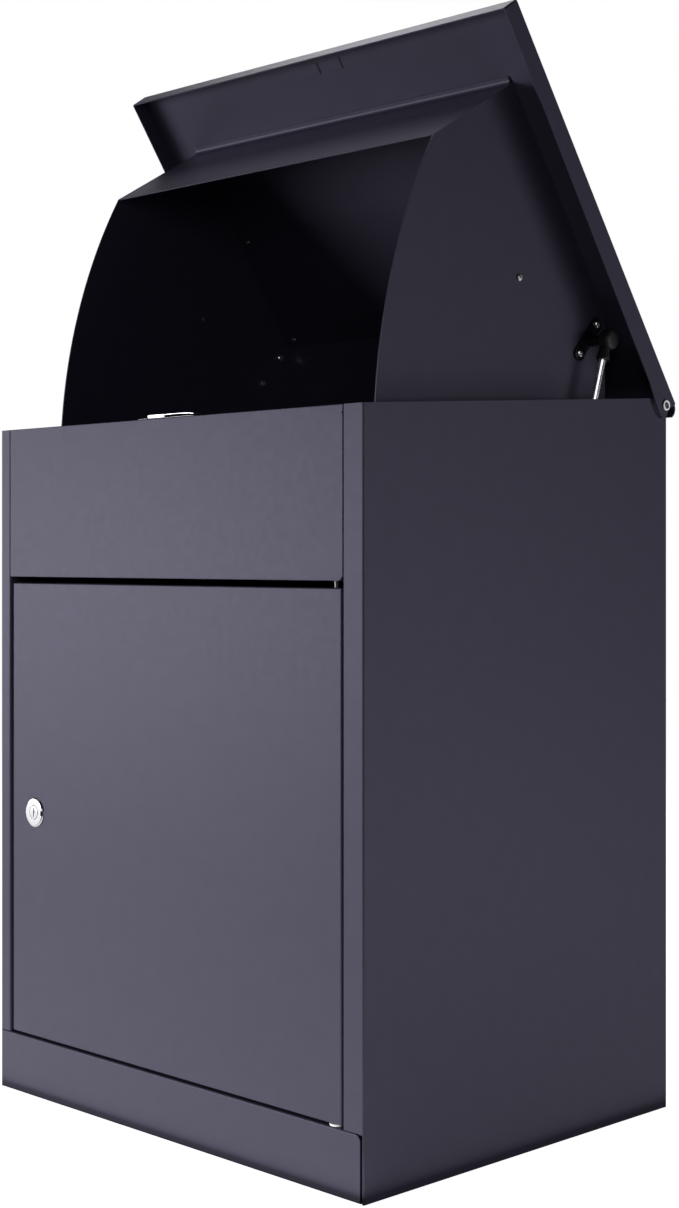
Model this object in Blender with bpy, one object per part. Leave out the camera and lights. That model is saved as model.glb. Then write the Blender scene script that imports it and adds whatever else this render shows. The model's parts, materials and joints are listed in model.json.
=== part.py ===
"""Parcel mailbox of folded sheet steel: a cabinet with a lockable door below, and a lifting lid that carries
a drum-shaped chute and stands open on two gas struts.

Metres, +Z up, front towards -Y. The origin is the centre of the cabinet's underside.
The lid is built in its own frame (d forward from the hinge along the lid, n out through its top) and then
turned to its open rest angle.
"""

import math

import bmesh
import bpy
from mathutils import Matrix, Vector

# Sheet and clearances
SHEET = 0.0012
FOLD = 0.0009
GAP = 0.0003

# Cabinet
HALF_WIDTH = 0.217
HALF_DEPTH = 0.175
FRONT_HEIGHT = 0.556
BACK_HEIGHT = 0.5785
INNER_HALF = HALF_WIDTH - SHEET
FLANGE = 0.015
LEFT_STRIP = 0.013
RIGHT_STRIP = 0.0205
PLINTH_HEIGHT = 0.0483
PLINTH_RIGHT = 0.2149
PLINTH_CORNER = 0.004
UPPER_PANEL_BOTTOM = 0.4322
UPPER_PANEL_CHAMFER = 0.0035
TOP_FLANGE = 0.010
BACK_FLANGE_TOP = 0.555
BACK_FLANGE_BOTTOM = 0.0175

# Wall fixing
WALL_HOLE_X = 0.150
WALL_HOLE_HEIGHTS = (0.120, 0.470)
WALL_HOLE_RADIUS = 0.006
SPACER_RADIUS = 0.014
SPACER_THICKNESS = 0.012
SPACER_BORE = 0.0043
SPACER_SNOUT = 0.005

# Door
DOOR_LEFT = -0.1995
DOOR_RIGHT = 0.1951
DOOR_BOTTOM = 0.0505
DOOR_TOP = 0.4272
DOOR_AXIS_X = 0.1856
DOOR_AXIS_Y = -0.170
PIN_RADIUS = 0.00175
PIN_HEAD_RADIUS = 0.0035
PIN_HEAD = 0.0013
PIN_REACH = 0.004
WASHER_RADIUS = 0.00525

# Cam lock
LOCK_X = -0.1684
LOCK_Z = 0.2364
LOCK_HEAD_RADIUS = 0.0122
LOCK_BODY_RADIUS = 0.009
LOCK_BODY_LENGTH = 0.019
LOCK_NOTCH = 0.0098
LOCK_NOTCH_HALF = 0.0021
LOCK_NOTCH_FLOOR = 0.0012
LOCK_CUT = 0.005
NUT_RADIUS = 0.0125
NUT_THICKNESS = 0.004
PLUG_RADIUS = 0.0054
PLUG_FRONT = 0.0024
PLUG_CHAMFER = 0.0004
PLUG_BACK = 0.021
KEYWAY_HALF_WIDTH = 0.0009
KEYWAY_HALF_HEIGHT = 0.0037
KEYWAY_DEPTH = 0.004
CAM_THICKNESS = 0.002
CAM_LENGTH = 0.037
CAM_HALF_WIDTH = 0.008
CAM_SCREW_REACH = 0.008
CAM_SCREW_HEAD = 0.002
SCREW_RADIUS = 0.0015
SCREW_HEAD = 0.003

# Lid, in its own frame
HINGE_Y = 0.1692
HINGE_Z = 0.5721
LID_OPEN = math.radians(55.6)
LID_HALF = 0.2208
LID_TOP = 0.0131
LID_FRONT = 0.3474
LID_REAR = 0.014
LID_REAR_BEND = 0.0074
LIP_BOTTOM = 0.004
SKIRT_FRONT = -0.0042
SKIRT_REAR = -0.0074
SKIRT_REAR_D = 0.028
EAR_RADIUS = 0.0105
RIVET_RADIUS = 0.003
RIVET_HEAD = 0.00485
RIVET_INNER_HEAD = 0.0041
RIVET_HEAD_THICKNESS = 0.0012
RIVET_CHAMFER = 0.0006
RIVET_HOLLOW = 0.0016
RIVET_HOLLOW_DEPTH = 0.003
LID_WASHER_RADIUS = 0.0075

# Chute, in the lid's frame: mouth tip, floor front, floor back and the arc between the first two
CHUTE_HALF = 0.188
MOUTH_TOP = Vector((0.2928, -0.0924))
FLOOR_FRONT = Vector((0.1517, -0.2642))
FLOOR_BACK = Vector((0.0013, -0.04455))
MOUTH_ARC_RADIUS = 0.478
CHUTE_TOP_D = 0.2858
CHUTE_FLANGE_D = 0.301
CHUTE_CEILING = LID_TOP - SHEET - GAP
SIDE_RIVET = Vector((0.1583, -0.0668))
SIDE_RIVET_HEAD = 0.0014
LID_NUTS = tuple((x, d) for x in (-0.175, 0.175) for d in (0.194, 0.091))
LID_NUT_HEIGHT = 0.0022
STRIKE_PLATES = ((-0.018, 0.0), (0.008, 0.026))
STRIKE_PLATE_BACK = 0.329
STRIKE_PLATE_FRONT = 0.339
STRIKE_PLATE_THICKNESS = 0.0005

# Gas struts
STRUT_X = 0.205
UPPER_BALL = Vector((0.0735, -0.019))
LOWER_BALL_Y = 0.0383
LOWER_BALL_Z = 0.3883
BALL_RADIUS = 0.0045
STUD_RADIUS = 0.0025
CUP_RADIUS = 0.007
CUP_BACK = 0.0070
CUP_MOUTH = 0.0033
SLEEVE_RADIUS = 0.0046
SLEEVE_START = 0.0052
SLEEVE_END = 0.017
SOCKET_FLOOR = 0.009
ROD_START = 0.0095
ROD_RADIUS = 0.003
ROD_END = 0.143
TUBE_RADIUS = 0.0075
TUBE_START = 0.098
TUBE_BORE = 0.0035
TUBE_BORE_END = 0.220
TUBE_END = 0.226
TUBE_CHAMFER = 0.001
BRACKET_THICKNESS = 0.0015
BRACKET_RADIUS = 0.007
BRACKET_SCREWS = (Vector((0.0729, -0.0376)), Vector((0.0811, -0.0053)))
BRACKET_SCREW_TAIL = 0.0016
BRACKET_SCREW_RIM = 0.0012
BRACKET_SCREW_CROWN = 0.0019
BRACKET_SCREW_CROWN_RADIUS = 0.0018
MOUNT_RADIUS = 0.009
MOUNT_HALF_RUN = 0.013

# Lid catch
CATCH_Y = -0.1700
CATCH_DEPTH = 0.007
CATCH_BASE_THICKNESS = 0.001
CATCH_HALF = 0.033
CATCH_BLOCK_LEFT = -0.022
CATCH_BLOCK_RIGHT = -0.002
CATCH_BLOCK_HEIGHT = 0.003
CATCH_SPRING_RISE = 0.0028
CATCH_SPRING_THICKNESS = 0.0008
CATCH_SPRING_STEPS = 12


def clear_scene():
    for obj in list(bpy.data.objects):
        bpy.data.objects.remove(obj, do_unlink=True)


def make_material(name, colour, roughness, metallic):
    material = bpy.data.materials.new(name)
    material.use_nodes = True
    shader = material.node_tree.nodes["Principled BSDF"]
    shader.inputs["Base Color"].default_value = (*colour, 1.0)
    shader.inputs["Roughness"].default_value = roughness
    shader.inputs["Metallic"].default_value = metallic
    return material


def make_empty(name, location, turn_x=0.0):
    """An empty on a joint's axis. Its basis matrix is its world matrix, because it has no parent."""
    empty = bpy.data.objects.new(name, None)
    empty.location = location
    empty.rotation_euler = (turn_x, 0.0, 0.0)
    bpy.context.scene.collection.objects.link(empty)
    return empty


def add(name, bm, material, parent=None, in_world=True):
    """Makes the mesh an object. A world mesh under a parent is first brought into the parent's frame."""
    if parent is not None and in_world:
        bm.transform(parent.matrix_basis.inverted())
    bmesh.ops.recalc_face_normals(bm, faces=bm.faces)
    for face in bm.faces:
        face.smooth = True
    for edge in bm.edges:
        edge.smooth = edge.calc_face_angle(0.0) < math.radians(35)
    mesh = bpy.data.meshes.new(name)
    bm.to_mesh(mesh)
    bm.free()
    obj = bpy.data.objects.new(name, mesh)
    mesh.materials.append(material)
    obj.parent = parent
    bpy.context.scene.collection.objects.link(obj)
    return obj


def combine(obj, bm, operation, in_world=True):
    """Adds a Boolean with a hidden helper object built from the mesh."""
    number = len(obj.modifiers) + 1
    helper = add(f"{obj.name}_{operation.lower()}_{number}", bm, obj.data.materials[0], obj.parent, in_world)
    helper.hide_render = True
    helper.display_type = "WIRE"
    modifier = obj.modifiers.new(f"{operation.title()} {number}", "BOOLEAN")
    modifier.operation = operation
    modifier.object = helper


def cut(obj, bm, in_world=True):
    combine(obj, bm, "DIFFERENCE", in_world)


def join(obj, bm, in_world=True):
    combine(obj, bm, "UNION", in_world)


def prism(outline, start, end, axis):
    """The outline, in the plane across the axis, drawn out from start to end along it."""
    place = {
        "X": lambda a, b, along: (along, a, b),
        "Y": lambda a, b, along: (a, along, b),
        "Z": lambda a, b, along: (a, b, along),
    }[axis]
    bm = bmesh.new()
    near = [bm.verts.new(place(a, b, start)) for a, b in outline]
    far = [bm.verts.new(place(a, b, end)) for a, b in outline]
    bm.faces.new(near)
    bm.faces.new(far)
    for i in range(len(outline)):
        following = (i + 1) % len(outline)
        bm.faces.new((near[i], near[following], far[following], far[i]))
    bmesh.ops.recalc_face_normals(bm, faces=bm.faces)
    return bm


def box(low, high):
    corners = [(low[0], low[1]), (high[0], low[1]), (high[0], high[1]), (low[0], high[1])]
    return prism(corners, low[2], high[2], "Z")


def circle(centre, radius, segments=20, first=0.0, last=2 * math.pi):
    """Points round a circle, or along the part of it from first to last."""
    whole = last - first >= 2 * math.pi
    count = segments if whole else segments + 1
    angles = [first + (last - first) * i / segments for i in range(count)]
    return [(centre[0] + radius * math.cos(a), centre[1] + radius * math.sin(a)) for a in angles]


def turned(profile, centre, axis, segments=20):
    """Solid of revolution of a closed (radius, height) profile, its heights along the axis from the centre."""
    bm = bmesh.new()
    rings = []
    for radius, height in profile:
        if radius == 0:
            rings.append([bm.verts.new((0, 0, height))] * segments)
        else:
            rings.append([bm.verts.new((x, y, height)) for x, y in circle((0, 0), radius, segments)])
    for ring, next_ring in zip(rings, rings[1:] + rings[:1]):
        for i in range(segments):
            j = (i + 1) % segments
            corners = list(dict.fromkeys((ring[i], ring[j], next_ring[j], next_ring[i])))
            if len(corners) > 2:
                bm.faces.new(corners)
    turn = Vector((0, 0, 1)).rotation_difference(Vector(axis)).to_matrix().to_4x4()
    bm.transform(Matrix.Translation(centre) @ turn)
    bmesh.ops.recalc_face_normals(bm, faces=bm.faces)
    return bm


def rod_profile(radius, start, end):
    return [(0, start), (radius, start), (radius, end), (0, end)]


def drill(obj, centre, axis, radius, half_length, in_world=True):
    cut(obj, turned(rod_profile(radius, -half_length, half_length), centre, axis), in_world)


def folded(points, radii, steps=3):
    """Closed outline of a folded sheet whose centre line runs through the points, round at each fold."""
    points = [Vector(point) for point in points]
    path = [points[0]]
    for before, corner, after, radius in zip(points, points[1:], points[2:], radii):
        back = (before - corner).normalized()
        onward = (after - corner).normalized()
        half = back.angle(onward) / 2
        centre = corner + (back + onward).normalized() * radius / math.sin(half)
        first = corner + back * radius / math.tan(half) - centre
        last = corner + onward * radius / math.tan(half) - centre
        for step in range(steps + 1):
            path.append(centre + first.lerp(last, step / steps).normalized() * radius)
    path.append(points[-1])
    runs = [end - start for start, end in zip(path, path[1:])]
    one_side, other_side = [], []
    for point, into, out in zip(path, runs[:1] + runs, runs + runs[-1:]):
        across_into = Vector((-into.y, into.x)).normalized()
        across_out = Vector((-out.y, out.x)).normalized()
        mitre = (across_into + across_out).normalized()
        mitre *= (SHEET / 2) / mitre.dot(across_into)
        one_side.append(point + mitre)
        other_side.append(point - mitre)
    return one_side + other_side[::-1]


def sheet_profile(points, fold_radii=None):
    return folded(points, fold_radii or [FOLD] * (len(points) - 2))


# Cabinet ------------------------------------------------------------------------------------------------


def side_top(y):
    """Height of the cabinet's sloping side at a depth y."""
    return FRONT_HEIGHT + (BACK_HEIGHT - FRONT_HEIGHT) * (y + HALF_DEPTH) / (2 * HALF_DEPTH)


def make_side_panel(name, side, strip, material):
    """Side wall bent round into a narrow front strip, with a return fold behind the strip."""
    wall = side * (HALF_WIDTH - SHEET / 2)
    inner = side * (HALF_WIDTH - strip + SHEET / 2)
    front = -HALF_DEPTH + SHEET / 2
    path = [(wall, HALF_DEPTH), (wall, front), (inner, front), (inner, -HALF_DEPTH + FLANGE)]
    bm = prism(sheet_profile(path), 0, BACK_HEIGHT, "Z")
    for vert in bm.verts:
        if vert.co.z > 0:
            vert.co.z = side_top(vert.co.y)
    panel = add(name, bm, material)
    plinth_space = sorted((side * (INNER_HALF - GAP / 3), inner - side * FLANGE))
    cut(panel, box((plinth_space[0], -HALF_DEPTH - FLANGE, -FLANGE),
                   (plinth_space[1], -HALF_DEPTH + 2 * FLANGE, PLINTH_HEIGHT + GAP)))
    drill(panel, (wall, HINGE_Y, HINGE_Z), (1, 0, 0), RIVET_RADIUS + GAP, FLANGE)
    return panel


def make_back_panel(material):
    flange_x = INNER_HALF - GAP - SHEET / 2
    back = HALF_DEPTH - SHEET / 2
    fold_end = HALF_DEPTH - FLANGE
    path = [(-flange_x, fold_end), (-flange_x, back), (flange_x, back), (flange_x, fold_end)]
    panel = add("back_panel", prism(sheet_profile(path), SHEET + GAP, BACK_HEIGHT - GAP, "Z"), material)
    sheet_face = HALF_DEPTH - SHEET - GAP / 3
    for side in (-1, 1):
        xs = sorted((side * (flange_x - 2 * SHEET), side * HALF_WIDTH))
        for low, high in ((0, BACK_FLANGE_BOTTOM), (BACK_FLANGE_TOP, BACK_HEIGHT + FLANGE)):
            cut(panel, box((xs[0], 0, low), (xs[1], sheet_face, high)))
    for x in (-WALL_HOLE_X, WALL_HOLE_X):
        for z in WALL_HOLE_HEIGHTS:
            drill(panel, (x, HALF_DEPTH, z), (0, 1, 0), WALL_HOLE_RADIUS, FLANGE)
    return panel


def make_floor_pan(material):
    """Floor, front plinth with its return, back upstand and two side upstands in one piece."""
    front = -HALF_DEPTH + SHEET / 2
    back = HALF_DEPTH - SHEET - GAP - SHEET / 2
    top = PLINTH_HEIGHT - SHEET / 2
    path = [(-HALF_DEPTH + FLANGE, top), (front, top), (front, SHEET / 2), (back, SHEET / 2), (back, FLANGE)]
    left = -(INNER_HALF - GAP)
    pan = add("floor_pan", prism(sheet_profile(path), left, PLINTH_RIGHT, "X"), material)
    inset = GAP / 3
    for outer, inner in ((left + inset, left + SHEET), (PLINTH_RIGHT - inset, PLINTH_RIGHT - SHEET)):
        xs = sorted((outer, inner))
        join(pan, box((xs[0], front, SHEET / 2), (xs[1], back, FLANGE)))
    drill(pan, (DOOR_AXIS_X, DOOR_AXIS_Y, top), (0, 0, 1), PIN_RADIUS + GAP, SHEET * 2)
    corner = (PLINTH_RIGHT - PLINTH_CORNER, PLINTH_HEIGHT - PLINTH_CORNER)
    beyond = (PLINTH_RIGHT + SHEET, PLINTH_HEIGHT + SHEET)
    rounding = circle(corner, PLINTH_CORNER, 5, 0, math.pi / 2)
    outline = [(beyond[0], corner[1]), *rounding, (corner[0], beyond[1]), beyond]
    cut(pan, prism(outline, -HALF_DEPTH - SHEET, -HALF_DEPTH + 2 * FLANGE, "Y"))
    return pan


def make_upper_front(material):
    """Fixed panel above the door, a shallow tray with its open side inwards."""
    left = -(HALF_WIDTH - LEFT_STRIP) + GAP
    right = HALF_WIDTH - RIGHT_STRIP - GAP
    front = -HALF_DEPTH + SHEET / 2
    top = FRONT_HEIGHT - SHEET / 2
    bottom = UPPER_PANEL_BOTTOM + SHEET / 2
    path = [(-HALF_DEPTH + TOP_FLANGE, top), (front, top), (front, bottom), (-HALF_DEPTH + FLANGE, bottom)]
    panel = add("front_panel_upper", prism(sheet_profile(path), left, right, "X"), material)
    inset = GAP / 3
    for outer, inner in ((left + inset, left + SHEET), (right - inset, right - SHEET)):
        xs = sorted((outer, inner))
        join(panel, box((xs[0], front, bottom), (xs[1], -HALF_DEPTH + TOP_FLANGE, top)))
    drill(panel, (DOOR_AXIS_X, DOOR_AXIS_Y, bottom), (0, 0, 1), PIN_RADIUS + GAP, SHEET * 2)
    chamfer = UPPER_PANEL_CHAMFER
    low = UPPER_PANEL_BOTTOM
    outline = [(right - chamfer, low - SHEET), (right + SHEET, low - SHEET), (right + SHEET, low + chamfer)]
    cut(panel, prism(outline, -HALF_DEPTH - SHEET, -HALF_DEPTH + 2 * SHEET, "Y"))
    return panel


def make_catch(zinc, chrome):
    """Spring catch for the lid: a base strip on the panel's top fold, a keeper block and a bowed spring."""
    front, back = CATCH_Y - CATCH_DEPTH / 2, CATCH_Y + CATCH_DEPTH / 2
    base_low = FRONT_HEIGHT + GAP
    base_top = base_low + CATCH_BASE_THICKNESS
    add("catch_base", box((-CATCH_HALF, front, base_low), (CATCH_HALF, back, base_top)), zinc)
    foot = base_top + GAP
    block_top = foot + CATCH_BLOCK_HEIGHT
    block = box((CATCH_BLOCK_LEFT, front + GAP, foot), (CATCH_BLOCK_RIGHT, back - GAP, block_top))
    add("catch_block", block, chrome)
    start = CATCH_BLOCK_RIGHT + GAP
    lower, upper = [], []
    for step in range(CATCH_SPRING_STEPS + 1):
        share = step / CATCH_SPRING_STEPS
        x = start + (CATCH_HALF - start) * share
        z = foot + CATCH_SPRING_RISE * math.sin(math.pi * share ** 1.3)
        lower.append((x, z))
        upper.append((x, z + CATCH_SPRING_THICKNESS))
    add("catch_spring", prism(lower + upper[::-1], front + GAP, back - GAP, "Y"), chrome)


def make_door_pins(zinc, nylon):
    """Headed pins above and below the door, and the washer that the door turns on."""
    axis = (DOOR_AXIS_X, DOOR_AXIS_Y)
    top_head = UPPER_PANEL_BOTTOM + SHEET + GAP
    bottom_head = PLINTH_HEIGHT - SHEET - GAP

    def pin_profile(head, away, tip):
        return [(0, head + away * PIN_HEAD), (PIN_HEAD_RADIUS, head + away * PIN_HEAD), (PIN_HEAD_RADIUS, head),
                (PIN_RADIUS, head), (PIN_RADIUS, tip), (0, tip)]

    top_profile = pin_profile(top_head, 1, DOOR_TOP - PIN_REACH)
    bottom_profile = pin_profile(bottom_head, -1, DOOR_BOTTOM + PIN_REACH)
    add("hinge_pin_top", turned(top_profile, (*axis, 0), (0, 0, 1), 16), zinc)
    add("hinge_pin_bottom", turned(bottom_profile, (*axis, 0), (0, 0, 1), 16), zinc)
    low, high = PLINTH_HEIGHT + GAP, DOOR_BOTTOM - GAP
    bore = PIN_RADIUS + GAP
    ring = [(bore, low), (WASHER_RADIUS, low), (WASHER_RADIUS, high), (bore, high)]
    add("hinge_washer", turned(ring, (*axis, 0), (0, 0, 1), 20), nylon)


def make_wall_spacers(rubber):
    """Stand-off bushes in the back panel's wall holes."""
    profile = [
        (SPACER_BORE, -SPACER_SNOUT),
        (WALL_HOLE_RADIUS - GAP, -SPACER_SNOUT),
        (WALL_HOLE_RADIUS - GAP, GAP),
        (SPACER_RADIUS, GAP),
        (SPACER_RADIUS, SPACER_THICKNESS),
        (SPACER_BORE, SPACER_THICKNESS),
    ]
    for level, z in zip(("low", "high"), WALL_HOLE_HEIGHTS):
        for side, x in (("left", -WALL_HOLE_X), ("right", WALL_HOLE_X)):
            bm = turned(profile, (x, HALF_DEPTH, z), (0, 1, 0), 20)
            add(f"wall_spacer_{level}_{side}", bm, rubber)


# Door and lock ------------------------------------------------------------------------------------------


def make_door(axis, material):
    left, right = DOOR_LEFT + SHEET / 2, DOOR_RIGHT - SHEET / 2
    front, back = -HALF_DEPTH + SHEET / 2, -HALF_DEPTH + FLANGE
    path = [(left, back), (left, front), (right, front), (right, back)]
    door = add("door_panel", prism(sheet_profile(path), DOOR_BOTTOM, DOOR_TOP, "Z"), material, axis)
    inset = GAP / 3
    for low in (DOOR_BOTTOM + inset, DOOR_TOP - inset - SHEET):
        join(door, box((left, front, low), (right, back - inset, low + SHEET)))
        drill(door, (DOOR_AXIS_X, DOOR_AXIS_Y, low), (0, 0, 1), PIN_RADIUS + GAP, SHEET * 3)
    drill(door, (LOCK_X, front, LOCK_Z), (0, 1, 0), LOCK_BODY_RADIUS + GAP, FLANGE)
    return door


def lock_turned(profile):
    """Turned lock piece: its heights count forwards from the door's face."""
    return turned(profile, (LOCK_X, -HALF_DEPTH, LOCK_Z), (0, -1, 0), 24)


def make_lock(door_axis, lock_axis, chrome, zinc):
    bore = PLUG_RADIUS + GAP
    head = [(bore, 0.0022), (0.0092, 0.0022), (0.0102, 0.0030), (0.0110, 0.0030), (LOCK_HEAD_RADIUS, 0.0016),
            (LOCK_HEAD_RADIUS, GAP), (LOCK_BODY_RADIUS, GAP), (LOCK_BODY_RADIUS, -LOCK_BODY_LENGTH),
            (bore, -LOCK_BODY_LENGTH)]
    housing = add("lock_housing", lock_turned(head), chrome, door_axis)
    notch_x = LOCK_X + LOCK_NOTCH
    cut(housing, box((notch_x, -HALF_DEPTH - LOCK_CUT, LOCK_Z - LOCK_NOTCH_HALF),
                     (notch_x + LOCK_CUT, -HALF_DEPTH - LOCK_NOTCH_FLOOR, LOCK_Z + LOCK_NOTCH_HALF)))
    nut_front = -HALF_DEPTH + SHEET + GAP
    hexagon = circle((LOCK_X, LOCK_Z), NUT_RADIUS, 6)
    nut = add("lock_nut", prism(hexagon, nut_front, nut_front + NUT_THICKNESS, "Y"), zinc, door_axis)
    drill(nut, (LOCK_X, nut_front, LOCK_Z), (0, 1, 0), LOCK_BODY_RADIUS + GAP, FLANGE)

    plug_profile = [(0, PLUG_FRONT), (PLUG_RADIUS - PLUG_CHAMFER, PLUG_FRONT),
                    (PLUG_RADIUS, PLUG_FRONT - PLUG_CHAMFER), (PLUG_RADIUS, -PLUG_BACK), (0, -PLUG_BACK)]
    plug = add("lock_plug", lock_turned(plug_profile), chrome, lock_axis)
    cut(plug, box((LOCK_X - KEYWAY_HALF_WIDTH, -HALF_DEPTH - LOCK_CUT, LOCK_Z - KEYWAY_HALF_HEIGHT),
                  (LOCK_X + KEYWAY_HALF_WIDTH, -HALF_DEPTH + KEYWAY_DEPTH, LOCK_Z + KEYWAY_HALF_HEIGHT)))
    hole = SCREW_RADIUS + GAP
    screw_tip = -PLUG_BACK + CAM_SCREW_REACH
    cut(plug, lock_turned(rod_profile(hole, -PLUG_BACK - SHEET, screw_tip + 0.001)))

    cam_front = -HALF_DEPTH + PLUG_BACK + GAP
    upper_end = circle((LOCK_X, LOCK_Z), CAM_HALF_WIDTH, 12, 0, math.pi)
    lower_end = circle((LOCK_X, LOCK_Z - CAM_LENGTH), CAM_HALF_WIDTH, 12, math.pi, 2 * math.pi)
    cam_outline = upper_end + lower_end
    cam = add("lock_cam", prism(cam_outline, cam_front, cam_front + CAM_THICKNESS, "Y"), zinc, lock_axis)
    drill(cam, (LOCK_X, cam_front, LOCK_Z), (0, 1, 0), hole, FLANGE)
    head_front = -PLUG_BACK - 2 * GAP - CAM_THICKNESS
    head_back = head_front - CAM_SCREW_HEAD
    screw = [(0, head_back), (SCREW_HEAD, head_back), (SCREW_HEAD, head_front),
             (SCREW_RADIUS, head_front), (SCREW_RADIUS, screw_tip), (0, screw_tip)]
    add("lock_cam_screw", lock_turned(screw), zinc, lock_axis)


# Lid and chute ------------------------------------------------------------------------------------------


def lid_plane(points):
    """Points given as (d, n) in the lid's frame, as (y, z) of that frame."""
    return [(-point[0], point[1]) for point in points]


def make_lid_shell(lid, material):
    middle = LID_TOP - SHEET / 2
    front = LID_FRONT - SHEET / 2
    rear = -(LID_REAR - SHEET / 2)
    path = lid_plane([(front, SKIRT_FRONT), (front, middle), (rear, middle), (rear, LIP_BOTTOM)])
    half = LID_HALF - SHEET / 2
    outline = sheet_profile(path, [FOLD, LID_REAR_BEND])
    shell = add("lid_shell", prism(outline, -half, half, "X"), material, lid, in_world=False)
    ear = circle((0, 0), EAR_RADIUS, 8, -math.pi / 2, 0)
    inset = GAP / 3
    skirt = [(-front, middle), (-front, SKIRT_FRONT + inset), (-SKIRT_REAR_D, SKIRT_REAR), *ear,
             (EAR_RADIUS, 0.006), (0.009, 0.0105), (0.006, middle)]
    for side in (-1, 1):
        xs = sorted((side * (LID_HALF - SHEET), side * LID_HALF))
        join(shell, prism(skirt, *xs, "X"), in_world=False)
        drill(shell, (side * LID_HALF, 0, 0), (1, 0, 0), RIVET_RADIUS + GAP, SHEET * 3, in_world=False)
    return shell


def mouth_arc(steps):
    """Points of the drum's arc from the mouth's tip to the floor's front, the ends left out."""
    chord = FLOOR_FRONT - MOUTH_TOP
    middle = (FLOOR_FRONT + MOUTH_TOP) / 2
    inwards = Vector((chord.y, -chord.x)).normalized()
    centre = middle + inwards * math.sqrt(MOUTH_ARC_RADIUS ** 2 - (chord.length / 2) ** 2)
    first, last = MOUTH_TOP - centre, FLOOR_FRONT - centre
    return [centre + first.lerp(last, i / steps).normalized() * MOUTH_ARC_RADIUS for i in range(1, steps)]


def make_chute(lid, material):
    """Side plates, top, back and floor of the drum under the lid."""
    ceiling = CHUTE_CEILING - SHEET / 2
    floor_run = (FLOOR_FRONT - FLOOR_BACK).normalized()
    upwards = Vector((-floor_run.y, floor_run.x))
    wall_foot = FLOOR_BACK + floor_run * SHEET / 2 + upwards * (SHEET + GAP)
    rise = (ceiling - wall_foot.y) / upwards.y
    wall_top = wall_foot + upwards * rise
    floor_lift = upwards * SHEET / 2
    tip = MOUTH_TOP + Vector((-SHEET / 2, 0))
    side_outline = [(CHUTE_TOP_D, CHUTE_CEILING), MOUTH_TOP, *mouth_arc(14), FLOOR_FRONT, FLOOR_BACK,
                    (wall_top.x - SHEET / 2, CHUTE_CEILING)]
    inner_half = CHUTE_HALF - SHEET
    for name, side in (("left", -1), ("right", 1)):
        xs = sorted((side * inner_half, side * CHUTE_HALF))
        bm = prism(lid_plane(side_outline), *xs, "X")
        plate = add(f"chute_side_{name}", bm, material, lid, in_world=False)
        for point in (*BRACKET_SCREWS, SIDE_RIVET):
            drill(plate, (side * CHUTE_HALF, *lid_plane([point])[0]), (1, 0, 0), SCREW_RADIUS + GAP, FLANGE,
                  in_world=False)
    half = inner_half - GAP
    top_path = [(CHUTE_FLANGE_D, ceiling), (CHUTE_TOP_D - SHEET / 2, ceiling), tip]
    top = prism(sheet_profile(lid_plane(top_path)), -half, half, "X")
    add("chute_top", top, material, lid, in_world=False)
    back_path = [(CHUTE_TOP_D - 2 * SHEET - GAP, ceiling), wall_top, wall_foot]
    back = prism(sheet_profile(lid_plane(back_path)), -half, half, "X")
    plate = add("chute_back", back, material, lid, in_world=False)
    for x, d in LID_NUTS:
        drill(plate, (x, -d, ceiling), (0, 0, 1), SCREW_RADIUS + GAP, SHEET * 3, in_world=False)
    floor_path = [FLOOR_BACK + floor_lift, FLOOR_FRONT + floor_lift]
    floor = prism(sheet_profile(lid_plane(floor_path)), -half, half, "X")
    add("chute_floor", floor, material, lid, in_world=False)


def make_lid_fixings(lid, zinc, material):
    """Rivets through the side plates, nuts under the chute's ceiling and the strike plates for the catch."""
    outer, inner = CHUTE_HALF + GAP, CHUTE_HALF - SHEET - GAP
    inner_end, outer_end = inner - SIDE_RIVET_HEAD, outer + SIDE_RIVET_HEAD
    rivet = [(0, inner_end), (SCREW_HEAD, inner_end), (SCREW_HEAD, inner), (SCREW_RADIUS, inner),
             (SCREW_RADIUS, outer), (SCREW_HEAD, outer), (SCREW_HEAD, outer_end), (0, outer_end)]
    for name, side in (("left", -1), ("right", 1)):
        place = (0, *lid_plane([SIDE_RIVET])[0])
        add(f"chute_rivet_{name}", turned(rivet, place, (side, 0, 0), 12), zinc, lid, in_world=False)
    ceiling = CHUTE_CEILING - SHEET - GAP
    foot = ceiling - LID_NUT_HEIGHT
    nut = [(0, foot), (SCREW_HEAD, foot), (SCREW_HEAD, ceiling), (SCREW_RADIUS, ceiling),
           (SCREW_RADIUS, CHUTE_CEILING), (0, CHUTE_CEILING)]
    for number, (x, d) in enumerate(LID_NUTS, 1):
        add(f"chute_nut_{number}", turned(nut, (x, -d, 0), (0, 0, 1), 12), zinc, lid, in_world=False)
    for number, (left, right) in enumerate(STRIKE_PLATES, 1):
        bm = box((left, -STRIKE_PLATE_FRONT, CHUTE_CEILING - STRIKE_PLATE_THICKNESS),
                 (right, -STRIKE_PLATE_BACK, CHUTE_CEILING))
        add(f"strike_plate_{number}", bm, material, lid, in_world=False)


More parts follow.
